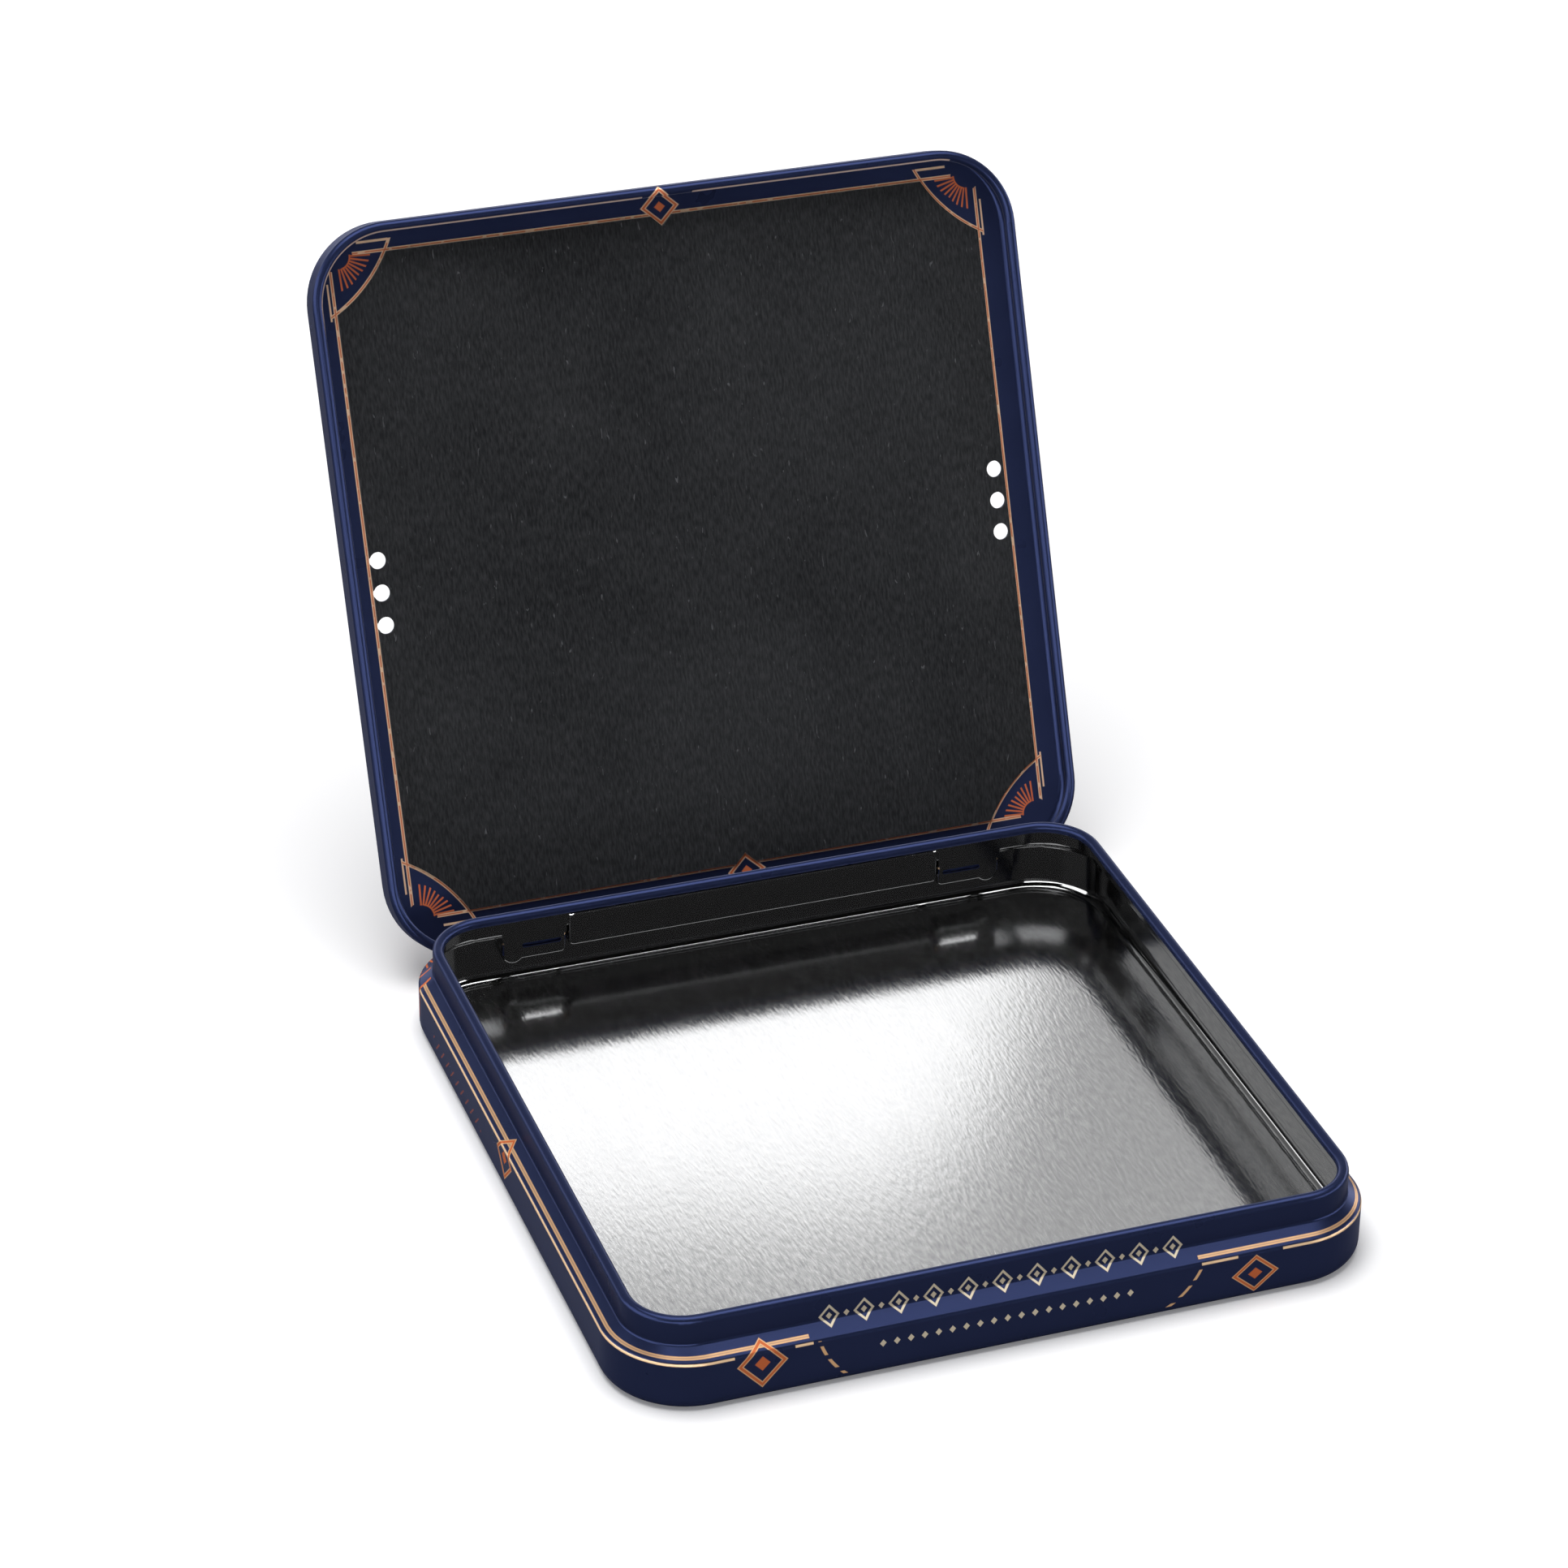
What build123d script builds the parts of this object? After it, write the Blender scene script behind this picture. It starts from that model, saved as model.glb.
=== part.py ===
from build123d import *
from math import asin, atan2, cos, degrees, hypot, pi, radians, sin, sqrt, tan
import os

# Hinged card tin, drawn and rolled from thin tinplate. Millimetres. X runs along the
# front, +Y goes back to the hinges and +Z is up. The origin is the middle of the
# underside. The lid is modelled open, leaning back on its stop.

# ---------------------------------------------------------------- driving dimensions
sheet = 0.3  # tinplate thickness, base and lid

base_side = 140.0  # outside of the square base
base_corner = 15.2  # its plan corners
base_edge = 2.2  # outside radius between underside and wall
bend_height = 9.65  # where the lower wall turns in to the shoulder
bend_radius = 0.8
shoulder_rise = 2.1  # height gained across the shoulder
neck_inset = 3.0  # how far the neck stands inside the lower wall
neck_corner = 11.2
foot_radius = 0.5  # outside radius where the shoulder meets the neck
rim_height = 17.0
base_curl = 2.1  # outside diameter of the rolled rim

lid_overhang = 0.1  # lid skirt outside the base wall, each side
lid_corner = 15.3
lid_edge = 1.2  # outside radius between panel and skirt
lid_curl = 1.96
lid_gap = 0.35  # between the panel's inside and the base's rim, lid shut
lid_curl_drop = 5.47  # from the panel's inside down to the middle of the lid's curl

hinge_inset = 1.7  # hinge axis inside the base's back wall
hinge_height = 8.5
open_angle = 112.5
pin_diameter = 1.0
pin_chamfer = 0.15
pin_fit = 0.02  # radial clearance of the pin in the base
pin_tail = 0.45  # pin length past each end of the pocket
knuckle_fit = 0.05  # radial clearance of the lid's knuckle on the pin
roll_gap = 50.0  # angle left open at the end of every rolled edge
tongue_width = 8.6
tongue_play = 0.3  # between the tongue and each end of its pocket
curl_notch = 0.4  # lid curl cut back past each side of the tongue

hinge_from_side = 31.8  # inner end of each hinge pocket inside the base's side wall
pocket_depth = 0.3  # pocket floor, outwards from the neck
pocket_below = 2.8  # pocket's lower edge under the hinge axis
pocket_above = 2.0  # pocket's upper edge over the hinge axis
pocket_edge = 0.4  # outside radius round the pocket's floor
pocket_corner = 0.8
lobe_radius = 2.0  # round lobe at the outer end, over the pin's end
lobe_drop = 0.8  # lobe's foot under the pocket's lower edge
slot_height = 1.0  # slot in the pocket floor, in front of the knuckle
slot_margin = 0.4  # slot end inside the tongue's end
slot_cut = 0.6  # each way from the outside of the pocket floor
post_width = 0.9  # fold left standing between pocket and middle recess
recess_below = 1.3  # ledge of the middle recess under the hinge axis
recess_depth = 0.4  # middle recess, inwards from the neck
recess_under_rim = 0.7  # its upper edge under the rolled rim

liner_thickness = 0.5
liner_side_margin = 5.9  # bare tin between the liner and the outside of the skirt
liner_free_margin = 5.75
liner_hinge_margin = 8.15
scoop_reach = 10.7  # corner scoop along each side
scoop_bulge = 1.0
notch_depth = 2.1  # V notches in the middle of two sides
free_notch_x = 0.7
hinge_notch_x = 2.4
hole_diameter = 3.25
hole_pitch = 6.2
hole_count = 3
hole_left_margin = 1.5  # middle of the left row inside the liner's edge, so it breaks out
hole_right_margin = 1.9
hole_shift = 0.76  # towards the lid's free edge

# ------------------------------------------------------------------ values that follow
past_cut = 1.0  # cutters run this far past what they cut
near = 0.01  # band that an edge's height is picked from

base_half = base_side / 2
neck_side = base_side - 2 * neck_inset
neck_half = neck_side / 2
shoulder_slope = atan2(shoulder_rise, neck_inset)
over_shoulder = bend_height + shoulder_rise + foot_radius + past_cut
base_curl_height = rim_height - base_curl / 2
recess_high = rim_height - base_curl - recess_under_rim

lid_side = base_side + 2 * lid_overhang
lid_half = lid_side / 2
panel_inside = rim_height + lid_gap
panel_outside = panel_inside + sheet
skirt_foot = panel_inside - lid_curl_drop

liner_width = lid_side - 2 * liner_side_margin
liner_x = liner_width / 2
liner_free = liner_free_margin - lid_half
liner_back = lid_half - liner_hinge_margin
hole_left = liner_x - hole_left_margin
hole_right = liner_x - hole_right_margin

hinge_y = base_half - hinge_inset
hinge_z = hinge_height
pin_radius = pin_diameter / 2
knuckle_radius = pin_radius + knuckle_fit + sheet
pocket_start = base_half - hinge_from_side
tongue_start = pocket_start + tongue_play
tongue_middle = tongue_start + tongue_width / 2
lobe_x = tongue_start + tongue_width + tongue_play + lobe_radius / 2
pocket_end = lobe_x + lobe_radius
pocket_low = hinge_z - pocket_below
pocket_high = hinge_z + pocket_above
lobe_z = pocket_low - lobe_drop + lobe_radius
recess_half = pocket_start - post_width
recess_low = hinge_z - recess_below
pin_start = pocket_start - pin_tail
pin_length = pocket_end - pocket_start + 2 * pin_tail

# The shut lid's frame, turned about the hinge axis to where the lid stands open.
turn = radians(open_angle)
lid_up = (0, sin(turn), cos(turn))
hinge_frame = Plane(origin=(0, hinge_y, hinge_z), x_dir=(1, 0, 0), z_dir=lid_up)
lid_origin = hinge_frame.from_local_coords((0, -hinge_y, -hinge_z))
lid_frame = Plane(origin=lid_origin, x_dir=(1, 0, 0), z_dir=lid_up)
lid_normal = Axis(lid_origin, lid_up)


# ------------------------------------------------------------------------ rolled edges
def rolled_edge(radius):
    """Section of an edge rolled over from a sheet that comes up along x = radius."""
    gap_corner = -2 * radius * tan(radians(roll_gap))
    with BuildSketch() as roll:
        Circle(radius)
        Circle(radius - sheet, mode=Mode.SUBTRACT)
        Polygon((0, 0), (2 * radius, gap_corner), (2 * radius, 0), align=None, mode=Mode.SUBTRACT)
    return roll.sketch


def rolled_rim(frame, side, corner, diameter, rolls):
    """Rim rolled inwards round a square with round corners, towards the frame's +Z or -Z."""
    middle = (side - diameter) / 2
    with BuildLine(frame) as half_path:
        FilletPolyline(
            (0, -middle), (middle, -middle), (middle, middle), (0, middle), radius=corner - diameter / 2
        )
    start = frame.from_local_coords((0, -middle, 0))
    outwards = frame.y_dir * -1
    along = outwards.cross(frame.z_dir * rolls)
    with BuildPart() as rim:
        with BuildSketch(Plane(origin=start, x_dir=outwards, z_dir=along)):
            add(rolled_edge(diameter / 2))
        sweep(path=half_path.wires()[0])
        mirror(about=Plane.YZ)
    return rim.part


# -------------------------------------------------------------------------- base forms
def drawn_form(inset, top):
    """The drawn base as a block: its outside, or with the sheet as inset its inside."""
    bend = bend_height - inset * tan(pi / 4 - shoulder_slope / 2)
    foot = bend + shoulder_rise
    wide = base_side - 2 * inset
    narrow = neck_side - 2 * inset
    with BuildPart() as form:
        with BuildSketch(Plane.XY.offset(inset)):
            RectangleRounded(wide, wide, base_corner - inset)
        extrude(amount=bend - inset)
        fillet(form.faces().sort_by(Axis.Z)[0].edges(), base_edge - inset)
        with BuildSketch(Plane.XY.offset(bend)):
            RectangleRounded(wide, wide, base_corner - inset)
        with BuildSketch(Plane.XY.offset(foot)):
            RectangleRounded(narrow, narrow, neck_corner - inset)
        loft(ruled=True)
        with BuildSketch(Plane.XY.offset(foot)):
            RectangleRounded(narrow, narrow, neck_corner - inset)
        extrude(amount=top - foot)
        fillet(form.edges().filter_by_position(Axis.Z, bend - near, bend + near), bend_radius - inset)
        fillet(form.edges().filter_by_position(Axis.Z, foot - near, foot + near), foot_radius + inset)
    return form.part


def middle_recess(inset):
    """Block taken off between the hinges, where the wall stands in from the neck down to a low ledge."""
    low = recess_low - inset
    high = recess_high + inset
    with BuildPart() as recess:
        with BuildSketch(Plane.XZ.offset(inset + recess_depth - neck_half)):
            with Locations((0, low)):
                Rectangle(2 * (recess_half + inset), high - low, align=(Align.CENTER, Align.MIN))
        extrude(amount=-(recess_depth + neck_inset + inset + past_cut))
        fillet(recess.edges().filter_by(Axis.Y), pocket_corner + inset)
        fillet(recess.faces().sort_by(Axis.Y)[0].edges(), pocket_edge + inset)
    return recess.part


def hinge_pockets(inset):
    """Blocks taken off at the hinges: a pocket for each knuckle, open through the shoulder."""
    start = pocket_start - inset
    low = pocket_low - inset
    high = pocket_high - inset
    with BuildPart() as pockets:
        with BuildSketch(Plane.XZ.offset(inset - neck_half - pocket_depth)):
            with Locations((start, low)):
                Rectangle(lobe_x - start, pocket_high - low, align=Align.MIN)
            with Locations((lobe_x, lobe_z)):
                Circle(lobe_radius + inset)
                Rectangle(2 * (lobe_radius + inset), pocket_high - lobe_z, align=(Align.CENTER, Align.MIN))
        extrude(amount=-(neck_inset + inset + past_cut))
        inner_corner = pockets.edges().filter_by(Axis.Y).group_by(Axis.X)[0].sort_by(Axis.Z)[0]
        fillet(inner_corner, pocket_corner + inset)
        floor_edges = pockets.faces().sort_by(Axis.Y)[0].edges()
        fillet(floor_edges.sort_by(Axis.Z)[:-1], pocket_edge + inset)
        with BuildSketch(Plane.XZ.offset(inset - neck_half)):
            with Locations((start, high)):
                Rectangle(pocket_end + inset - start, over_shoulder - high, align=Align.MIN)
        extrude(amount=-(neck_inset + inset + past_cut))
        mirror(about=Plane.YZ)
    return pockets.part


def pressed_form(inset, top):
    """The drawn form with the hinge pressings taken off."""
    block = drawn_form(inset, top)
    recess = middle_recess(inset)
    pockets = hinge_pockets(inset)
    with BuildPart() as form:
        add(block)
        add(recess, mode=Mode.SUBTRACT)
        add(pockets, mode=Mode.SUBTRACT)
    return form.part


# --------------------------------------------------------------------------- base tray
tray_outside = pressed_form(0, base_curl_height)
tray_inside = pressed_form(sheet, base_curl_height + past_cut)
tray_rim = rolled_rim(Plane.XY.offset(base_curl_height), neck_side, neck_corner, base_curl, 1)

with BuildPart() as base_tray:
    add(tray_outside)
    add(tray_inside, mode=Mode.SUBTRACT)
    add(tray_rim)
    for side in (-1, 1):
        # Slot through the pocket's floor, in front of the knuckle.
        with BuildSketch(Plane.XZ.offset(-neck_half - pocket_depth)):
            with Locations((side * tongue_middle, hinge_z)):
                SlotOverall(tongue_width - 2 * slot_margin, slot_height)
        extrude(amount=slot_cut, both=True, mode=Mode.SUBTRACT)
        # Holes through both ends of the pocket that hold the pin.
        with BuildSketch(Plane.YZ.offset(side * (pin_start + pin_length / 2))):
            with Locations((hinge_y, hinge_z)):
                Circle(pin_radius + pin_fit)
        extrude(amount=pin_length / 2, both=True, mode=Mode.SUBTRACT)
base_tray.part.label = "base_tray"

# -------------------------------------------------------------------------- hinge pins
hinge_pins = {}
for side, name in ((-1, "hinge_pin_left"), (1, "hinge_pin_right")):
    with BuildPart() as pin:
        with BuildSketch(Plane.YZ.offset(side * (pin_start + pin_length / 2))):
            with Locations((hinge_y, hinge_z)):
                Circle(pin_radius)
        extrude(amount=pin_length / 2, both=True)
        chamfer(pin.edges().filter_by(GeomType.CIRCLE), pin_chamfer)
    pin.part.label = name
    hinge_pins[name] = pin.part


# --------------------------------------------------------------------------- lid shell
def lid_form(inset, foot):
    """The drawn lid as a block: its outside, or with the sheet as inset its inside."""
    wide = lid_side - 2 * inset
    with BuildPart() as form:
        with BuildSketch(lid_frame.offset(foot)):
            RectangleRounded(wide, wide, lid_corner - inset)
        extrude(amount=panel_outside - inset - foot)
        fillet(form.faces().sort_by(lid_normal)[-1].edges(), lid_edge - inset)
    return form.part


lid_outside = lid_form(0, skirt_foot)
lid_inside = lid_form(sheet, skirt_foot - past_cut)
lid_rim = rolled_rim(lid_frame.offset(skirt_foot), lid_side, lid_corner, lid_curl, -1)

with BuildPart() as notched_rim:
    add(lid_rim)
    for side in (-1, 1):
        with BuildSketch(lid_frame.offset(skirt_foot)):
            with Locations((side * tongue_middle, lid_half - lid_curl / 2)):
                Rectangle(tongue_width + 2 * curl_notch, lid_curl + past_cut)
        extrude(amount=lid_curl, both=True, mode=Mode.SUBTRACT)

# A tongue runs from the skirt's foot down to the knuckle that it rolls into.
foot_out = lid_half - hinge_y
foot_up = skirt_foot - hinge_z
foot_reach = hypot(foot_out, foot_up)
tongue_lean = degrees(atan2(foot_out, foot_up) - asin(knuckle_radius / foot_reach))
tongue_length = sqrt(foot_reach**2 - knuckle_radius**2)
lid_back = hinge_frame.y_dir

with BuildPart() as hole_punch:
    for row_x in (-hole_left, hole_right):
        with BuildSketch(lid_frame.offset(panel_inside - liner_thickness - past_cut)):
            with Locations((row_x, -hole_shift)):
                with GridLocations(0, hole_pitch, 1, hole_count):
                    Circle(hole_diameter / 2)
        extrude(amount=liner_thickness + sheet + 2 * past_cut)

with BuildPart() as lid_shell:
    add(lid_outside)
    add(lid_inside, mode=Mode.SUBTRACT)
    add(notched_rim.part)
    add(hole_punch.part, mode=Mode.SUBTRACT)
    for side in (-1, 1):
        end = (side * tongue_middle - tongue_width / 2, hinge_y, hinge_z)
        knuckle_plane = Plane(origin=end, x_dir=lid_back, z_dir=(-1, 0, 0)).rotated((-tongue_lean, 0, 0))
        with BuildSketch(knuckle_plane):
            add(rolled_edge(knuckle_radius))
            with Locations((knuckle_radius - sheet, 0)):
                Rectangle(sheet, tongue_length, align=(Align.MIN, Align.MAX))
        extrude(amount=-tongue_width)
lid_shell.part.label = "lid_shell"

# --------------------------------------------------------------------------- lid liner
with BuildPart() as lid_liner:
    with BuildSketch(lid_frame.offset(panel_inside - liner_thickness)):
        with BuildLine():
            for end_y, inward, notch_x in ((liner_free, 1, free_notch_x), (liner_back, -1, hinge_notch_x)):
                scoop_y = end_y + inward * scoop_reach
                scoop_x = liner_x - scoop_reach
                Line((-scoop_x, end_y), (notch_x - notch_depth, end_y))
                Line((notch_x - notch_depth, end_y), (notch_x, end_y + inward * notch_depth))
                Line((notch_x, end_y + inward * notch_depth), (notch_x + notch_depth, end_y))
                Line((notch_x + notch_depth, end_y), (scoop_x, end_y))
                SagittaArc((scoop_x, end_y), (liner_x, scoop_y), inward * scoop_bulge)
                SagittaArc((-scoop_x, end_y), (-liner_x, scoop_y), -inward * scoop_bulge)
            for side_x in (-liner_x, liner_x):
                Line((side_x, liner_free + scoop_reach), (side_x, liner_back - scoop_reach))
        make_face()
    extrude(amount=liner_thickness)
    add(hole_punch.part, mode=Mode.SUBTRACT)
lid_liner.part.label = "lid_liner"

# ------------------------------------------------------------------------------ export
os.makedirs("parts", exist_ok=True)
export_step(base_tray.part, "parts/base_tray.step")
export_step(lid_shell.part, "parts/lid_shell.step")
export_step(lid_liner.part, "parts/lid_liner.step")
for name, pin_part in hinge_pins.items():
    export_step(pin_part, f"parts/{name}.step")
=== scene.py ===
import math

import bmesh
import bpy
from mathutils import Matrix, Vector


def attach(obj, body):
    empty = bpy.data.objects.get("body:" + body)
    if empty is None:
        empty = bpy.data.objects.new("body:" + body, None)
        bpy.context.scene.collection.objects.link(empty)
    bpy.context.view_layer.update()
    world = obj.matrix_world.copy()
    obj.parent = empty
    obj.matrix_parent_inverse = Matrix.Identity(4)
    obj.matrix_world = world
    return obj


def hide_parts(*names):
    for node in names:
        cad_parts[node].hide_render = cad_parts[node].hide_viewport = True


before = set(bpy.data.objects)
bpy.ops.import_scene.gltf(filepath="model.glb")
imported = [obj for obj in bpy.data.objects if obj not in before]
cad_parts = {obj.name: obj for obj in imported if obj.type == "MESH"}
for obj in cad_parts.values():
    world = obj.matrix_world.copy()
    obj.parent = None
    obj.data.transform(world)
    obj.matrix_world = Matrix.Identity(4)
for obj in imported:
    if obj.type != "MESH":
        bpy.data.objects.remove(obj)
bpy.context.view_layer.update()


# ------------------------------------------------------------------------- base tray
# The tray is drawn from 0.3 mm tinplate, printed and varnished navy outside and left
# bare inside. Its rim is rolled inwards, so the print comes over on to the roll.
def linear(code):
    """A hex sRGB colour as the linear colour that the shaders take."""
    parts = [int(code[i:i + 2], 16) / 255 for i in (1, 3, 5)]
    turned = [c / 12.92 if c <= 0.04045 else ((c + 0.055) / 1.055) ** 2.4 for c in parts]
    return (*turned, 1.0)


def add_node(tree, kind, *values, links=None, **settings):
    """Adds a node and gives its first output in use.

    values fill its inputs in order and links fills them by name or number, each with
    a value or with another node's output.
    """
    node = tree.nodes.new("ShaderNode" + kind)
    for name, value in settings.items():
        setattr(node, name, value)
    for name, value in {**dict(enumerate(values)), **(links or {})}.items():
        if isinstance(value, bpy.types.NodeSocket):
            tree.links.new(value, node.inputs[name])
        else:
            node.inputs[name].default_value = value
    return next((output for output in node.outputs if output.enabled), None)


def new_finish(name):
    finish = bpy.data.materials.new(name)
    finish.use_nodes = True
    finish.node_tree.nodes.clear()
    return finish, finish.node_tree


def millimetres(tree):
    """The place on the piece, in millimetres."""
    place = add_node(tree, "TexCoord").node.outputs["Object"]
    return add_node(tree, "Mapping", place, links={"Scale": (1000, 1000, 1000)})


def away(tree, value, middle):
    """How far a value is from the middle, either way."""
    off = add_node(tree, "Math", value, middle, operation="SUBTRACT")
    return add_node(tree, "Math", off, operation="ABSOLUTE")


def reach(tree, across, up):
    """Straight distance of a point that is so far across and so far up."""
    point = add_node(tree, "CombineXYZ", across, up)
    return add_node(tree, "VectorMath", point, operation="LENGTH")


def band(tree, value, middle, width, edge=0.05):
    """A stroke: 1 where the value is within half a width of the middle, with a soft edge."""
    off = away(tree, value, middle)
    return add_node(tree, "MapRange", off, width / 2 - edge, width / 2 + edge, 1.0, 0.0)


def span(tree, value, low, high, edge=0.05):
    return band(tree, value, (low + high) / 2, high - low, edge)


def both(tree, *masks):
    found = masks[0]
    for mask in masks[1:]:
        found = add_node(tree, "Math", found, mask, operation="MULTIPLY")
    return found


def either(tree, *masks):
    found = masks[0]
    for mask in masks[1:]:
        found = add_node(tree, "Math", found, mask, operation="MAXIMUM")
    return found


def all_but(tree, mask):
    return add_node(tree, "Math", 1.0, mask, operation="SUBTRACT")


def lozenge(tree, across, up, at, half_width, half_height):
    """Distance measure of a lozenge: 0 in its middle and 1 on its outline."""
    right = add_node(tree, "Math", away(tree, across, at[0]), half_width, operation="DIVIDE")
    above = add_node(tree, "Math", away(tree, up, at[1]), half_height, operation="DIVIDE")
    return add_node(tree, "Math", right, above, operation="ADD")


def off_ray(tree, degrees, pitch, from_hub):
    """Distance from a fan's nearest ray; the rays stand a pitch apart, in degrees."""
    place = add_node(tree, "Math", degrees, pitch, operation="DIVIDE")
    nearest = add_node(tree, "Math", place, operation="ROUND")
    turned = add_node(tree, "Math", away(tree, place, nearest), math.radians(pitch), operation="MULTIPLY")
    return add_node(tree, "Math", turned, from_hub, operation="MULTIPLY")


def copy_of_node(node_name, piece_name):
    """A CAD node's mesh as a piece of its own, merged, with its smooth shading kept."""
    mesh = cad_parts[node_name].data.copy()
    mesh.name = piece_name
    mesh.materials.clear()
    piece = bpy.data.objects.new(piece_name, mesh)
    bpy.context.scene.collection.objects.link(piece)
    shading = [corner.vector.copy() for corner in mesh.corner_normals]
    shape = bmesh.new()
    shape.from_mesh(mesh)
    bmesh.ops.remove_doubles(shape, verts=shape.verts, dist=1e-7)
    no_face_lost = len(shape.faces) == len(mesh.polygons)
    shape.to_mesh(mesh)
    shape.free()
    if no_face_lost:
        mesh.normals_split_custom_set(shading)
    return piece


navy_dark = "#242b47"
navy_light = "#272e4c"
navy_edge = "#e8e9f2"
tan_ink = "#dcb083"
peach_ink = "#f4cfa6"
rust_ink = "#c4683f"
cream_ink = "#d2c6ae"


def printed_finish(tree, inks):
    """Litho inks under satin varnish on tin, which give a deep blue with cool pale edges.

    inks is a list of masks and their colours, laid one over another on the navy; on the lid,
    one of them is a painted highlight. They are opaque and hardly shine.
    """
    place = add_node(tree, "TexCoord").node.outputs["Object"]
    cloud = add_node(tree, "TexNoise", links={"Vector": place, "Scale": 90.0, "Detail": 3.0})
    navy = {0: cloud, 6: linear(navy_dark), 7: linear(navy_light)}
    colour = add_node(tree, "Mix", links=navy, data_type="RGBA")
    for mask, ink in inks:
        colour = add_node(tree, "Mix", links={0: mask, 6: colour, 7: linear(ink)}, data_type="RGBA")
    opaque = either(tree, *[mask for mask, ink in inks])
    metal = add_node(tree, "MapRange", opaque, 0.0, 1.0, 0.42, 0.15)
    rough = add_node(tree, "MapRange", cloud, 0.3, 0.7, 0.27, 0.3)
    peel = add_node(tree, "TexNoise", links={"Vector": place, "Scale": 700.0, "Detail": 2.0})
    bump = add_node(tree, "Bump", links={"Height": peel, "Strength": 0.04, "Distance": 0.0002})
    gloss = add_node(tree, "BsdfPrincipled", links={
        "Base Color": colour, "Metallic": metal, "Roughness": rough, "Normal": bump,
        "Specular IOR Level": 0.0, "Specular Tint": linear(navy_edge),
    })
    add_node(tree, "OutputMaterial", gloss)


# The base's print, in millimetres: a thin copper line on the bend and a wider one above
# it, broken on the front, with a lozenge on each side of the break and one on each end.
# Heights are taken along the sheet, so that they run on over the shoulder.
navy_print, tree = new_finish("navy_litho_ink_satin_varnish_base")
x, y, z = add_node(tree, "SeparateXYZ", millimetres(tree)).node.outputs
shoulder_low, shoulder_high, shoulder_extra = 9.65, 11.75, 1.5624
over_shoulder = add_node(tree, "MapRange", z, shoulder_low, shoulder_high, 0.0, shoulder_extra)
unrolled = add_node(tree, "Math", z, over_shoulder, operation="ADD")
plan_reach = either(tree, away(tree, x, 0.0), away(tree, y, 0.0))
outside = add_node(tree, "Math", plan_reach, 60.0, operation="GREATER_THAN")
front = add_node(tree, "Math", y, -66.0, operation="LESS_THAN")
ends = add_node(tree, "Math", away(tree, x, 0.0), 66.0, operation="GREATER_THAN")
wide_gap = both(tree, front, span(tree, x, -37.5, 33.8))
thin_gap = both(tree, front, either(
    tree, span(tree, x, -51.0, -40.2), span(tree, x, 41.0, 49.5), span(tree, x, -37.0, 34.2)))
wide_line_at = 10.95
wide_line = both(tree, band(tree, unrolled, wide_line_at, 0.7), all_but(tree, wide_gap))
thin_line = both(tree, band(tree, z, 9.5, 0.42), all_but(tree, thin_gap))
left_lozenge = lozenge(tree, x, unrolled, (-46.05, 7.45), 4.55, 4.95)
right_lozenge = lozenge(tree, x, unrolled, (44.45, 5.4), 4.45, 3.9)
end_lozenge = lozenge(tree, y, unrolled, (1.2, 7.9), 4.6, 4.7)
rust_masks = []
pale_masks = []
for shape, side in ((left_lozenge, front), (right_lozenge, front), (end_lozenge, ends)):
    rust_masks.append(both(tree, side, span(tree, shape, 0.8, 0.95, 0.02)))
    pale_masks.append(both(tree, side, span(tree, shape, 0.75, 1.0, 0.02)))
    rust_masks.append(both(tree, side, span(tree, shape, -0.3, 0.3, 0.02)))

# Each back corner has a fan: two arcs and rays round a hub, where the lines stop. It is
# laid out along the wall, round the corner.
corner_middle = 54.8
corner_radius = 15.2
hub_along, hub_up = 14.0, 8.0
past_x = add_node(tree, "Math", away(tree, x, 0.0), corner_middle, operation="SUBTRACT")
past_y = add_node(tree, "Math", y, corner_middle, operation="SUBTRACT")
turn = add_node(
    tree, "Math",
    add_node(tree, "Math", past_y, 0.0, operation="MAXIMUM"),
    add_node(tree, "Math", past_x, 0.0, operation="MAXIMUM"), operation="ARCTAN2")
on_corner = add_node(tree, "Math", turn, corner_radius, operation="MULTIPLY")
on_side = add_node(tree, "Math", past_y, 0.0, operation="MINIMUM")
on_back = add_node(tree, "Math", past_x, 0.0, operation="MINIMUM")
along_wall = add_node(tree, "Math", on_corner, on_side, operation="ADD")
along_wall = add_node(tree, "Math", along_wall, on_back, operation="SUBTRACT")
fan_across = add_node(tree, "Math", along_wall, hub_along, operation="SUBTRACT")
fan_up = add_node(tree, "Math", unrolled, hub_up, operation="SUBTRACT")
fan_far = reach(tree, fan_across, fan_up)
fan_turn = add_node(tree, "Math", fan_up, fan_across, operation="ARCTAN2")
fan_turn = add_node(tree, "Math", fan_turn, operation="DEGREES")
fan_ray = add_node(tree, "MapRange", off_ray(tree, fan_turn, 15, fan_far), 0.17, 0.27, 1.0, 0.0)
at_back_end = add_node(tree, "Math", y, 40.0, operation="GREATER_THAN")
fan_strokes = either(
    tree, band(tree, fan_far, 12.0, 0.6), band(tree, fan_far, 8.3, 0.5),
    band(tree, fan_far, 2.2, 0.4), both(tree, fan_ray, span(tree, fan_far, 2.4, 7.0)))
rust_masks.append(both(tree, at_back_end, span(tree, unrolled, 1.8, 12.6), fan_strokes))
in_fan = both(tree, at_back_end, add_node(tree, "Math", fan_far, 12.0, operation="LESS_THAN"))

# Each end has a faint row of slanted dashes between its lozenge and the fan.
slant = add_node(tree, "Math", add_node(tree, "Math", y, z, operation="ADD"), 100.0, operation="ADD")
slant = add_node(tree, "Math", slant, 1.6, operation="PINGPONG")
end_dash = add_node(tree, "MapRange", slant, 1.25, 1.4, 0.0, 0.4)
rust_masks.append(both(tree, ends, span(tree, y, 16.0, 47.0), band(tree, z, 4.6, 2.2), end_dash))

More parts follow.
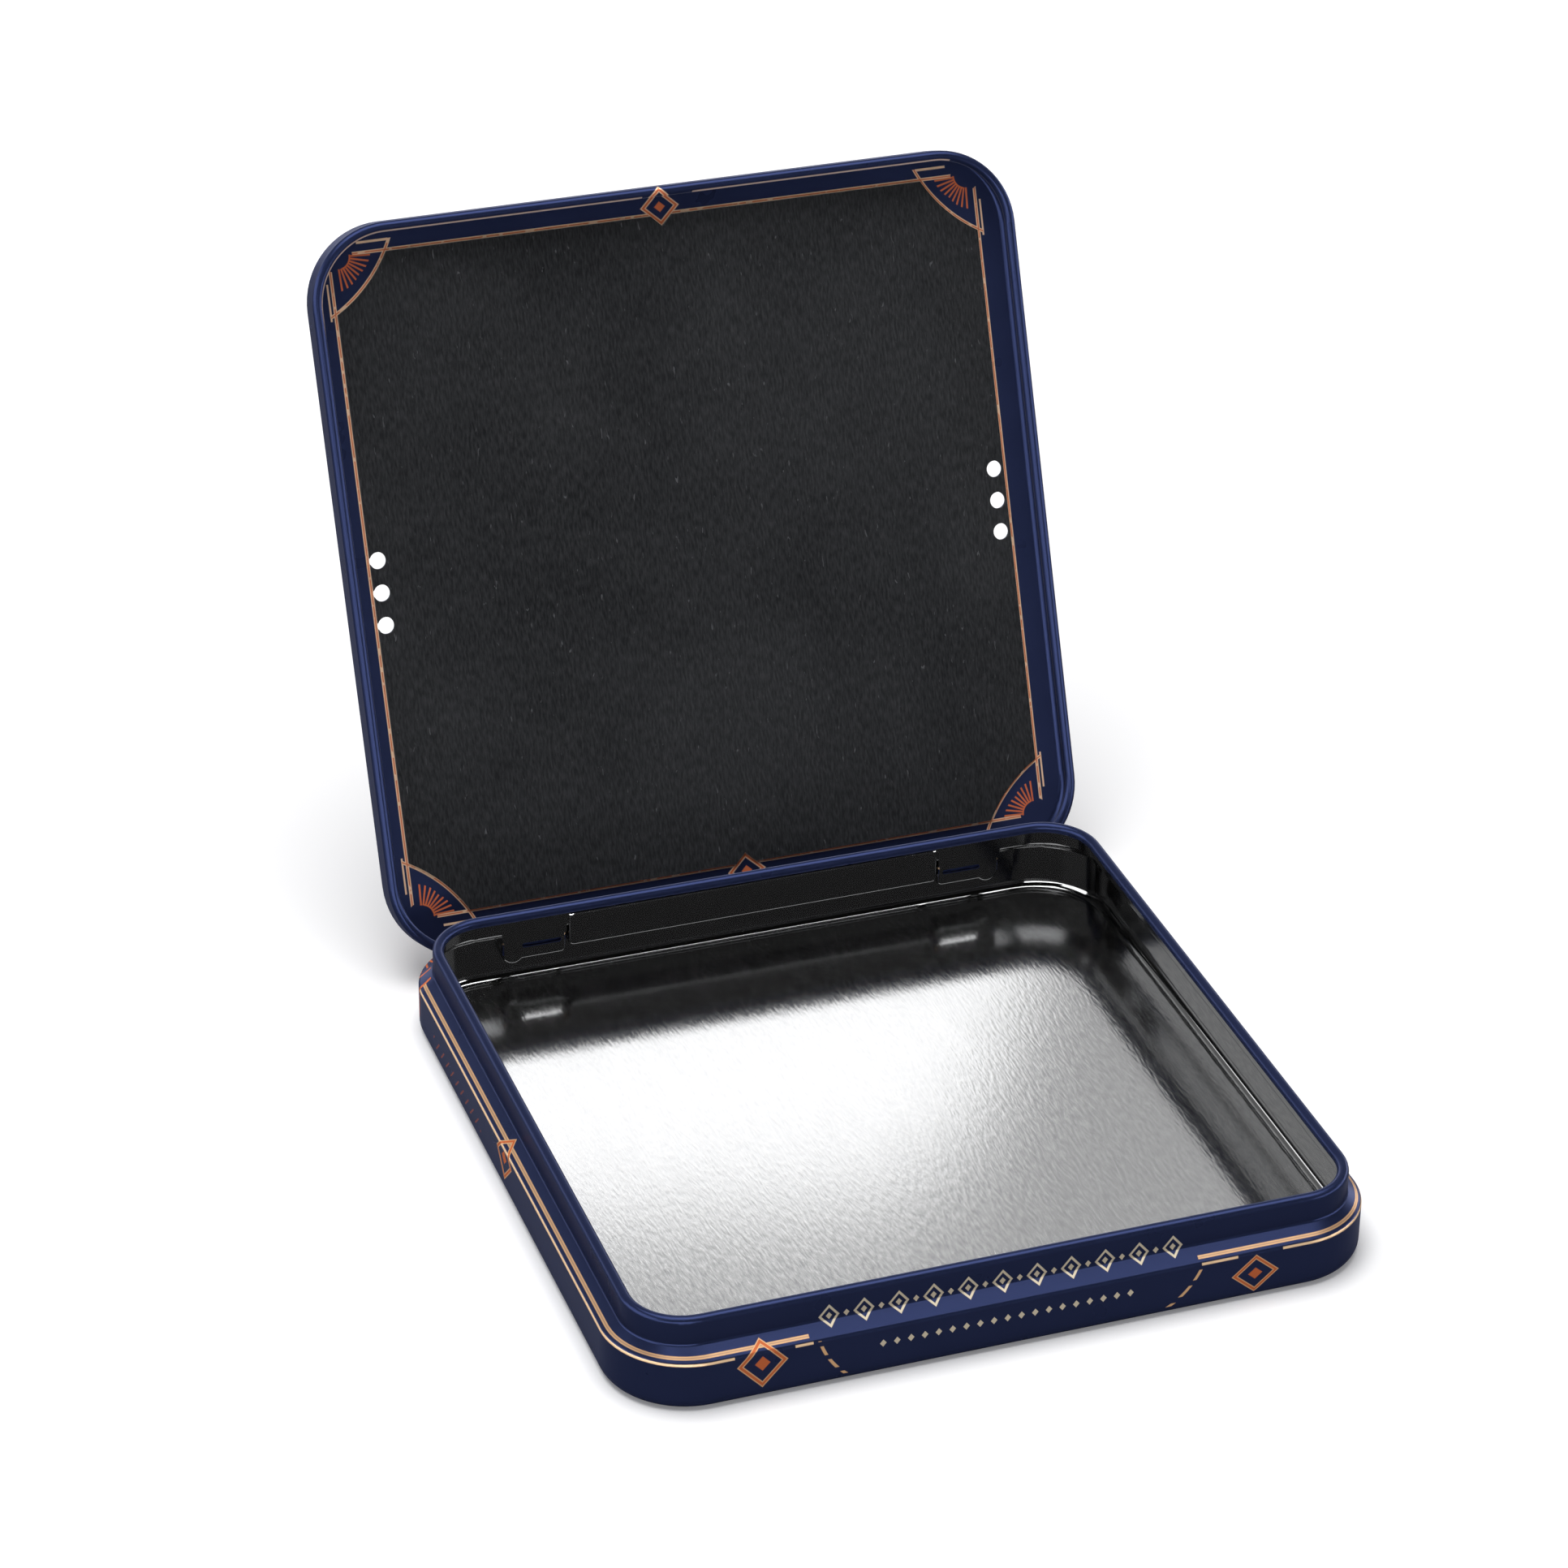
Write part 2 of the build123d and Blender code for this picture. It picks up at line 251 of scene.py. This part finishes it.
# The place for a title holds a plain row of lozenges over a row of dots, with a dashed
# arc on each side.
dashes = add_node(tree, "MapRange", add_node(tree, "Math", z, 1.5, operation="PINGPONG"), 0.45, 0.55)
arcs = []
for middle, middle_up, radius in ((-19.8, 14.2, 16.7), (20.5, 14.5, 14.8)):
    across = add_node(tree, "Math", x, middle, operation="SUBTRACT")
    above = add_node(tree, "Math", z, middle_up, operation="SUBTRACT")
    outward = add_node(tree, "Math", across, math.copysign(1, middle), operation="MULTIPLY")
    outward = add_node(tree, "Math", outward, 4.0, operation="GREATER_THAN")
    arcs.append(both(tree, outward, band(tree, reach(tree, across, above), radius, 0.55)))
dashed_arcs = both(tree, front, span(tree, z, 1.9, 9.6), dashes, either(tree, *arcs))
big_pitch, big_at = 6.3, -1.75
dot_pitch = 2.52
from_middle = add_node(tree, "Math", x, 20 * big_pitch - big_at, operation="ADD")
big_off = add_node(tree, "Math", from_middle, big_pitch / 2, operation="PINGPONG")
big = lozenge(tree, big_off, unrolled, (0.0, 13.9), 1.9, 2.3)
between = lozenge(tree, big_off, unrolled, (big_pitch / 2, 13.9), 0.55, 0.65)
dot_off = add_node(tree, "Math", from_middle, dot_pitch / 2, operation="PINGPONG")
dot = lozenge(tree, dot_off, z, (0.0, 6.6), 0.6, 0.75)
title_row = either(
    tree, span(tree, big, 0.72, 1.0, 0.03), span(tree, big, -0.3, 0.3, 0.03),
    span(tree, between, -1.0, 1.0, 0.06))
title_row = both(tree, span(tree, x, -35.2, 31.7), title_row)
dot_row = both(tree, span(tree, x, -26.0, 22.5), span(tree, dot, -1.0, 1.0, 0.06))
cream = both(tree, front, either(tree, title_row, dot_row))
rust = both(tree, either(tree, *rust_masks), outside)
worn_middle = add_node(
    tree, "MapRange", band(tree, unrolled, wide_line_at, 0.2, 0.08), 0.0, 1.0, 0.82, 0.5)
clear_of_fan = all_but(tree, in_fan)
wide_line = both(tree, wide_line, worn_middle, clear_of_fan)
tan = both(tree, outside, either(tree, wide_line, dashed_arcs, *pale_masks))
peach = both(tree, outside, thin_line, clear_of_fan)
printed_finish(tree, [(tan, tan_ink), (peach, peach_ink), (rust, rust_ink), (cream, cream_ink)])

# Bare tinplate, bright rolled: a soft mirror, broken up by a grain that runs from front to
# back. The real grain is too fine to show and is drawn about 0.5 mm wide and 2.5 mm long.
# The drawing irons the walls smooth. The bends and the back wall carry a painted dark
# reflection: they are coloured much darker than bare tin is, in place of the lid's own dark
# reflection, which the studio leaves out.
bare_tin, tree = new_finish("bare_tinplate_bright_rolled")
x, y, z = add_node(tree, "SeparateXYZ", millimetres(tree)).node.outputs
beside = add_node(tree, "Math", away(tree, x, 0.0), 63.5, operation="GREATER_THAN")
side_wall = both(tree, beside, add_node(tree, "Math", away(tree, y, 0.0), 55.0, operation="LESS_THAN"))
up_side = both(tree, side_wall, z)
up_end = both(tree, all_but(tree, side_wall), z)
on_blank = add_node(
    tree, "CombineXYZ",
    add_node(tree, "Math", x, up_side, operation="ADD"), add_node(tree, "Math", y, up_end, operation="ADD"))
grain_place = add_node(tree, "Mapping", on_blank, links={"Scale": (1.8, 0.4, 1)})
grain = add_node(tree, "TexNoise", links={"Vector": grain_place, "Scale": 1.0, "Detail": 1.5})
smear_place = add_node(tree, "Mapping", on_blank, links={"Scale": (0.3, 0.06, 1)})
smear = add_node(tree, "TexNoise", links={"Vector": smear_place, "Scale": 1.0, "Detail": 3.0})
on_floor = add_node(tree, "MapRange", z, 0.4, 0.8, 1.0, 0.0)
rough = add_node(
    tree, "Math",
    add_node(tree, "MapRange", smear, 0.3, 0.7, 0.025, 0.045),
    add_node(tree, "MapRange", grain, 0.35, 0.65, 0.0, 0.03), operation="ADD")
rough = add_node(tree, "Math", both(tree, on_floor, rough), 0.09, operation="ADD")
bright = {0: grain, 6: linear("#d9dadc"), 7: linear("#fcfcfc")}
tone = add_node(tree, "Mix", links=bright, data_type="RGBA")
# Painted dark reflection: the bends and the back wall are mixed towards near-black.
on_bend = add_node(tree, "Math", span(tree, z, 0.5, 1.7, 0.15), 0.75, operation="MULTIPLY")
at_back = both(
    tree, add_node(tree, "Math", y, 60.0, operation="GREATER_THAN"),
    add_node(tree, "Math", z, 1.2, operation="GREATER_THAN"))
at_back = add_node(tree, "Math", at_back, 0.55, operation="MULTIPLY")
painted_dark_reflection = add_node(tree, "Math", on_bend, at_back, operation="ADD")
painted_dark_reflection = add_node(tree, "Math", painted_dark_reflection, 0.78, operation="MINIMUM")
tone = add_node(tree, "Mix", links={0: painted_dark_reflection, 6: tone, 7: linear("#101112")}, data_type="RGBA")
relief = both(tree, grain, on_floor)
bump = add_node(tree, "Bump", links={"Height": relief, "Strength": 1.0, "Distance": 0.00002})
gloss = add_node(tree, "BsdfPrincipled", links={
    "Base Color": tone, "Roughness": rough, "Metallic": 1.0, "Normal": bump,
})
add_node(tree, "OutputMaterial", gloss)

tray = copy_of_node("base_tray", "base_tray_sheet")
tray.data.materials.append(navy_print)
tray.data.materials.append(bare_tin)
pin_y, pin_z = 68.3, 8.5
pin_hole_reach = 0.535
roll_starts = 14.95


def cut_face(face):
    """Faces of the slots, the pin holes and the roll, where the bare side ends."""
    at = face.calc_center_median() * 1000
    slot = 67.01 < at.y < 67.29 and 7.9 < at.z < 9.1 and abs(face.normal.y) < 0.9
    pin_hole = math.hypot(at.y - pin_y, at.z - pin_z) < pin_hole_reach
    return slot or pin_hole or at.z > roll_starts


shape = bmesh.new()
shape.from_mesh(tray.data)
shape.faces.ensure_lookup_table()
floor_middle = Vector((0, 0, 0.0003))
first = min(shape.faces, key=lambda f: (f.calc_center_median() - floor_middle).length)
inside = {first.index}
to_visit = [first]
while to_visit:
    face = to_visit.pop()
    for edge in face.edges:
        for other in edge.link_faces:
            if other.index not in inside and not cut_face(other):
                inside.add(other.index)
                to_visit.append(other)
shape.free()
for face in tray.data.polygons:
    face.material_index = 1 if face.index in inside else 0
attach(tray, "base")
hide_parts("base_tray")

# ------------------------------------------------------------------------ hinge pins
# Short lengths of drawn steel wire, pushed through the pocket's ends and the knuckle.
# The drawing leaves fine streaks along the wire, which break up its shine. They are drawn
# coarser than real, about 0.1 mm wide and 3 mm long.
wire, tree = new_finish("drawn_steel_wire")
place = add_node(tree, "TexCoord").node.outputs["Object"]
streak_place = add_node(tree, "Mapping", place, links={"Scale": (300, 9000, 9000)})
streak = add_node(tree, "TexNoise", links={"Vector": streak_place, "Scale": 1.0, "Detail": 2.0})
steel = {0: streak, 6: linear("#a9abae"), 7: linear("#cfd1d3")}
gloss = add_node(tree, "BsdfPrincipled", links={
    "Base Color": add_node(tree, "Mix", links=steel, data_type="RGBA"),
    "Roughness": add_node(tree, "MapRange", streak, 0.3, 0.7, 0.22, 0.4), "Metallic": 1.0,
})
add_node(tree, "OutputMaterial", gloss)
for pin_name in ("hinge_pin_left", "hinge_pin_right"):
    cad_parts[pin_name].material_slots[0].material = wire

# ------------------------------------------------------------------------- lid shell
# The lid is drawn from the same sheet and printed on both sides: a copper frame line,
# a fan in each corner, and a lozenge in the middle of the free and hinge edges. Its
# print is laid out on the shut lid, in millimetres.
open_angle = math.radians(112.5)
lean_y, lean_z = math.sin(open_angle), math.cos(open_angle)
origin_y = pin_y - pin_y * lean_z - pin_z * lean_y
origin_z = pin_z + pin_y * lean_y - pin_z * lean_z
to_shut = (0.0, lean_y * origin_z - lean_z * origin_y, -lean_y * origin_y - lean_z * origin_z)


def lid_place(tree):
    """The place on the shut lid, in millimetres."""
    place = add_node(tree, "TexCoord").node.outputs["Object"]
    turned = {"Scale": (1000, 1000, 1000), "Rotation": (open_angle, 0, 0), "Location": to_shut}
    return add_node(tree, "Mapping", place, links=turned)


pale_ink = "#f0ccaa"
# The colour of the painted highlight on the roll's inner lip, laid on like an ink.
lip_highlight_colour = "#f0d2c0"
bright_rust = "#d6744c"
stroke = 0.62
stroke_core = 0.24
frame_x, frame_y = 64.6, 63.43
hub_x, hub_y = 63.0, 63.2
arc_middle_x, arc_middle_y, arc_radius = 78.73, 77.65, 28.78
ray_pitch = 10.6

lid_print, tree = new_finish("navy_litho_ink_satin_varnish_lid")
x, y, z = add_node(tree, "SeparateXYZ", lid_place(tree)).node.outputs
on_panel = add_node(tree, "Math", z, 16.0, operation="GREATER_THAN")
fold_x = away(tree, x, 0.0)
fold_y = away(tree, y, -1.23)
to_hub_x = add_node(tree, "Math", hub_x, fold_x, operation="SUBTRACT")
to_hub_y = add_node(tree, "Math", hub_y, fold_y, operation="SUBTRACT")
from_hub = reach(tree, to_hub_x, to_hub_y)
off_hub = add_node(tree, "Math", from_hub, 3.0, operation="GREATER_THAN")
from_arc = reach(tree, away(tree, fold_x, arc_middle_x), away(tree, fold_y, arc_middle_y))
short_of_end = add_node(tree, "MapRange", fold_y, frame_y + 0.3, frame_y + 0.35, 1.0, 0.0)
short_of_side = add_node(tree, "MapRange", fold_x, frame_x + 0.3, frame_x + 0.35, 1.0, 0.0)
side_line = both(tree, band(tree, fold_x, frame_x, stroke), short_of_end, off_hub)
end_line = both(tree, band(tree, fold_y, frame_y, stroke), short_of_side, off_hub)
arc = both(
    tree, band(tree, from_arc, arc_radius, stroke),
    add_node(tree, "MapRange", fold_x, 65.5, 65.55, 1.0, 0.0),
    add_node(tree, "MapRange", fold_y, 65.5, 65.55, 1.0, 0.0))
end_tab = both(tree, band(tree, fold_y, 65.35, 0.45), span(tree, fold_x, 52.9, 59.0))
side_tab = both(tree, band(tree, fold_x, 65.5, 0.35), span(tree, fold_y, 51.3, 58.3))

# Each stroke has a broken rust core between pale edges.
breaks = add_node(tree, "TexNoise", links={"Vector": lid_place(tree), "Scale": 0.45, "Detail": 2.0})
core = both(tree, add_node(tree, "MapRange", breaks, 0.38, 0.44), either(
    tree,
    both(tree, band(tree, fold_x, frame_x, stroke_core, 0.08), side_line),
    both(tree, band(tree, fold_y, frame_y, stroke_core, 0.08), end_line),
    both(tree, band(tree, from_arc, arc_radius, stroke_core, 0.08), arc)))
ray_angle = add_node(tree, "Math", to_hub_y, to_hub_x, operation="ARCTAN2")
ray_angle = add_node(tree, "Math", ray_angle, operation="DEGREES")
from_first = add_node(tree, "Math", ray_angle, 3.0, operation="SUBTRACT")
ray = add_node(tree, "MapRange", off_ray(tree, from_first, ray_pitch, from_hub), 0.12, 0.22, 1.0, 0.0)
longer = add_node(tree, "Math", away(tree, ray_angle, 45.0), 0.025, operation="MULTIPLY")
tip = add_node(tree, "Math", longer, 5.3, operation="ADD")
past_tip = add_node(tree, "Math", from_hub, tip, operation="SUBTRACT")
rays = both(
    tree, ray, span(tree, ray_angle, -3.0, 93.0, 0.5), add_node(tree, "MapRange", from_hub, 2.3, 2.4),
    add_node(tree, "MapRange", past_tip, 0.0, 0.1, 1.0, 0.0))
hub_edge = both(tree, band(tree, from_hub, 2.45, 0.3), span(tree, ray_angle, -3.0, 75.0, 0.5))

# The free edge's lozenge runs from the panel over on to the face of the rolled edge,
# where it is shifted so that its outline meets across the step.
corner_past_x = add_node(tree, "Math", fold_x, corner_middle, operation="SUBTRACT")
corner_past_x = add_node(tree, "Math", corner_past_x, 0.0, operation="MAXIMUM")
corner_past_y = add_node(tree, "Math", -corner_middle, y, operation="SUBTRACT")
corner_past_y = add_node(tree, "Math", corner_past_y, 0.0, operation="MAXIMUM")
lip = reach(tree, corner_past_x, corner_past_y)
on_roll = add_node(tree, "Math", z, 14.0, operation="LESS_THAN")
roll_face = both(
    tree, add_node(tree, "Math", z, 11.95, operation="LESS_THAN"),
    add_node(tree, "Math", lip, 70.05 - corner_middle, operation="LESS_THAN"))
near_middle = both(
    tree, either(tree, on_panel, roll_face),
    add_node(tree, "Math", fold_x, 10.0, operation="LESS_THAN"))
shift_x = add_node(tree, "Math", on_roll, 1.68, operation="MULTIPLY")
shift_y = add_node(tree, "Math", on_roll, 0.45, operation="MULTIPLY")
across = add_node(tree, "Math", x, shift_x, operation="ADD")
down = add_node(tree, "Math", y, shift_y, operation="ADD")
free_lozenge = lozenge(tree, across, down, (0.7, -66.0), 3.88, 3.61)
hinge_lozenge = lozenge(tree, x, y, (2.4, 63.6), 3.88, 3.61)
lozenge_cores = []
lozenge_edges = []
for shape in (free_lozenge, hinge_lozenge):
    lozenge_cores.append(span(tree, shape, 0.77, 0.93, 0.03))
    lozenge_cores.append(span(tree, shape, -0.28, 0.28, 0.03))
    lozenge_edges.append(span(tree, shape, 0.71, 1.0, 0.03))
nearest_lozenge = add_node(tree, "Math", free_lozenge, hinge_lozenge, operation="MINIMUM")
clear_of_lozenge = add_node(tree, "Math", nearest_lozenge, 1.0, operation="GREATER_THAN")
open_panel = both(tree, on_panel, clear_of_lozenge)
tan = either(
    tree, both(tree, open_panel, either(tree, side_line, end_line, arc, end_tab, side_tab)),
    both(tree, near_middle, either(tree, *lozenge_edges)))
rust = either(
    tree, both(tree, open_panel, either(tree, core, rays, hub_edge)),
    both(tree, near_middle, either(tree, *lozenge_cores)))

# A painted highlight: a pale line runs along the inner lip of the rolled edge, on the free
# side and its left corner, where the roll would catch the light.
lip_highlight = both(
    tree, band(tree, lip, 68.33 - corner_middle, 0.26, 0.08),
    add_node(tree, "Math", z, 11.9, operation="LESS_THAN"),
    add_node(tree, "MapRange", y, -60.0, -50.0, 0.7, 0.0),
    add_node(tree, "Math", x, 58.0, operation="LESS_THAN"),
    add_node(tree, "Math", away(tree, x, 0.7), 5.0, operation="GREATER_THAN"))
# The painted lip highlight goes in with the inks.
printed_finish(tree, [(tan, pale_ink), (lip_highlight, lip_highlight_colour), (rust, bright_rust)])
lid = copy_of_node("lid_shell", "lid_shell_sheet")
lid.data.materials.append(lid_print)
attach(lid, "lid")
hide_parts("lid_shell")

# ------------------------------------------------------------------------- lid liner
# Black uncoated card, glued inside the lid: matt charcoal with short fibres that lie mostly
# one way, a few paler hairs and a slight cloudiness. Real fibres are too fine to show, and
# these are drawn about 0.4 mm wide and 2 mm long.
card, tree = new_finish("black_card_uncoated")
place = lid_place(tree)
fibre_place = add_node(tree, "Mapping", place, links={"Scale": (2.6, 0.55, 1.0)})
fibre = add_node(tree, "TexNoise", links={
    "Vector": fibre_place, "Scale": 1.0, "Detail": 3.0, "Roughness": 0.6,
})
hair_place = add_node(tree, "Mapping", place, links={"Scale": (1.1, 0.3, 1.0)})
hair = add_node(tree, "TexNoise", links={
    "Vector": hair_place, "Scale": 1.3, "Detail": 2.0, "Distortion": 0.6,
})
blotch = add_node(tree, "TexNoise", links={"Vector": place, "Scale": 0.03, "Detail": 3.0})
tone = add_node(
    tree, "Math",
    add_node(tree, "MapRange", fibre, 0.35, 0.68, 0.0, 0.7),
    add_node(tree, "MapRange", blotch, 0.35, 0.65, 0.0, 0.3), operation="ADD")
charcoal = {0: tone, 6: linear("#141517"), 7: linear("#38393b")}
black = add_node(tree, "Mix", links=charcoal, data_type="RGBA")
pale_hair = {0: add_node(tree, "MapRange", hair, 0.7, 0.76), 6: black, 7: linear("#56575a")}
black = add_node(tree, "Mix", links=pale_hair, data_type="RGBA")
bump = add_node(tree, "Bump", links={"Height": fibre, "Strength": 0.6, "Distance": 0.00012})
gloss = add_node(tree, "BsdfPrincipled", links={
    "Base Color": black, "Roughness": 0.85, "Metallic": 0.0, "Normal": bump,
    "Specular IOR Level": 0.08,
})
add_node(tree, "OutputMaterial", gloss)
liner = copy_of_node("lid_liner", "lid_liner_card")
liner.data.materials.append(card)
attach(liner, "lid")
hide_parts("lid_liner")

# -------------------------------------------------------------------- floor and light
# A matt white floor, whose own glow takes over from the lamp's light further out, so that
# it has no edge; reflections see it as a grey. A white world stands round it, and one
# large soft box hangs overhead.
bpy.ops.object.select_all(action="DESELECT")
bpy.ops.mesh.primitive_plane_add(size=6, location=(0, 0, 0))
floor = bpy.context.active_object
floor.name = "studio_floor"
white, tree = new_finish("matt_white_floor")
seen = add_node(tree, "LightPath").node.outputs
dimmed = {0: seen["Is Glossy Ray"], 6: linear("#f2f2f3"), 7: linear("#a8a8ab")}
matt = add_node(tree, "BsdfDiffuse", links={"Color": add_node(tree, "Mix", links=dimmed, data_type="RGBA")})
place = add_node(tree, "TexCoord").node.outputs["Object"]
from_tin = add_node(tree, "VectorMath", place, operation="LENGTH")
glow = add_node(tree, "Emission", links={
    "Color": linear("#ffffff"), "Strength": add_node(tree, "MapRange", from_tin, 0.25, 1.6, 0.15, 1.0),
})
lit = add_node(tree, "AddShader", matt, glow)
add_node(tree, "OutputMaterial", add_node(tree, "MixShader", seen["Is Camera Ray"], matt, lit))
floor.data.materials.append(white)

world = bpy.data.worlds.new("studio")
bpy.context.scene.world = world
world.use_nodes = True
tree = world.node_tree
tree.nodes.clear()
seen = add_node(tree, "LightPath").node.outputs
shown = either(tree, seen["Is Glossy Ray"], seen["Is Transmission Ray"], seen["Is Camera Ray"])
strength = add_node(tree, "MapRange", shown, 0.0, 1.0, 0.22, 1.0)
back = add_node(tree, "Background", links={"Color": linear("#ffffff"), "Strength": strength})
add_node(tree, "OutputWorld", back)

soft_box_width = 0.95
soft_box_height = 1.3
lamp_data = bpy.data.lights.new("overhead_soft_box", "AREA")
lamp_data.size = soft_box_width
lamp_data.energy = 18
lamp = bpy.data.objects.new("overhead_soft_box", lamp_data)
lamp.location = (-0.15, 0.1, soft_box_height)
lamp.visible_glossy = False
bpy.context.scene.collection.objects.link(lamp)


# -------------------------------------------------------------------- reflection cards
# Cards stand round the set, and only reflections see them. The strips and the soft box's face
# are 4 to 8 times as bright as white, for the highlights on varnish and tin. The lid and its
# liner are left out of reflections, so that the tray's floor shows the white card instead.
def studio_card(name, corners, once, more):
    """once is the card's light in a first reflection, and more its light in later ones."""
    mesh = bpy.data.meshes.new(name)
    mesh.from_pydata(corners, [], [tuple(range(len(corners)))])
    card = bpy.data.objects.new(name, mesh)
    bpy.context.scene.collection.objects.link(card)
    paint, tree = new_finish(name + "_paint")
    depth = add_node(tree, "LightPath").node.outputs["Glossy Depth"]
    strength = add_node(tree, "MapRange", depth, 1.4, 1.6, once, more)
    glow = add_node(tree, "Emission", links={"Color": linear("#ffffff"), "Strength": strength})
    behind = add_node(tree, "NewGeometry").node.outputs["Backfacing"]
    clear = add_node(tree, "BsdfTransparent")
    add_node(tree, "OutputMaterial", add_node(tree, "MixShader", behind, glow, clear))
    paint.cycles.emission_sampling = "NONE"
    mesh.materials.append(paint)
    card.visible_camera = False
    card.visible_diffuse = False
    card.visible_transmission = False
    card.visible_shadow = False


def upright_card(name, start, end, low, high, once, more):
    """An upright card between two plan points, facing left of the way from start to end."""
    corners = [(*end, low), (*start, low), (*start, high), (*end, high)]
    studio_card(name, corners, once, more)


side = 2.5
depth = 1.8
ceiling = 2.4
front_left, front_right = (-side, -depth), (side, -depth)
back_left, back_right = (-side, depth), (side, depth)
gap_left, gap_right = (0.1, -depth), (1.1, -depth)
strip = 0.7
upright_card("front_black_card", front_left, front_right, strip, ceiling, 0.01, 0.03)
upright_card("front_left_strip", front_left, gap_left, 0.0, strip, 8.0, 0.15)
upright_card("front_dark_gap", gap_left, gap_right, 0.0, strip, 0.05, 0.05)
upright_card("front_right_strip", gap_right, front_right, 0.0, strip, 8.0, 0.15)
upright_card("right_strip", front_right, back_right, 0.0, strip, 8.0, 0.15)
upright_card("right_grey_card", front_right, back_right, strip, ceiling, 0.2, 0.1)
upright_card("back_strip", back_right, back_left, 0.0, 0.6, 4.0, 0.1)
upright_card("back_grey_card", back_right, back_left, 0.6, ceiling, 0.4, 0.2)
upright_card("left_strip", back_left, front_left, 0.0, 2.0, 6.0, 0.04)
upright_card("left_grey_card", back_left, front_left, 2.0, ceiling, 0.4, 0.04)
soft_box_face = [(-0.62, 0.57), (0.9, 0.57), (0.9, -0.52), (-0.62, -0.52)]
studio_card("soft_box_face", [(x, y, soft_box_height) for x, y in soft_box_face], 7.5, 0.8)
plan = (back_left, back_right, front_right, front_left)
studio_card("ceiling_black_card", [(*corner, ceiling) for corner in plan], 0.02, 0.02)

# The white card is a board with one rounded corner, upright behind the open lid. It is cut
# to the patch of white that the tray's floor reflects towards the camera.
bounce_card_at = 0.5
corner_x, corner_z, corner_reach = 0.19, 0.35, 0.045
bounce_card = [(0.005, 0.29), (0.255, 0.29)]
for degrees in range(15, 96, 16):
    turn = math.radians(degrees)
    along, up = corner_reach * math.cos(turn), corner_reach * math.sin(turn)
    bounce_card.append((corner_x + along, corner_z + up))
bounce_card += [(0.09, 0.383), (-0.005, 0.378)]
bounce_card = [(x, bounce_card_at, z) for x, z in bounce_card]
studio_card("white_bounce_card", bounce_card, 1.35, 0.06)
lid.visible_glossy = False
liner.visible_glossy = False

# ---------------------------------------------------------------------------- camera
# A long lens looks down on the open tin from its front left corner. The Standard view
# shows a colour as it is written.
camera_place = (-0.27172, -0.69973, 0.51130)
camera_turn = math.radians(-19.893)
camera_tilt = math.radians(30.313)
camera_roll = math.radians(0.878)
camera_data = bpy.data.cameras.new("camera")
camera_data.sensor_width = 36
camera_data.lens = 113.752
camera = bpy.data.objects.new("camera", camera_data)
camera.matrix_world = (
    Matrix.Translation(camera_place)
    @ Matrix.Rotation(camera_turn, 4, "Z")
    @ Matrix.Rotation(math.pi / 2 - camera_tilt, 4, "X")
    @ Matrix.Rotation(camera_roll, 4, "Z")
)
bpy.context.scene.collection.objects.link(camera)
bpy.context.scene.camera = camera
bpy.context.scene.view_settings.view_transform = "Standard"
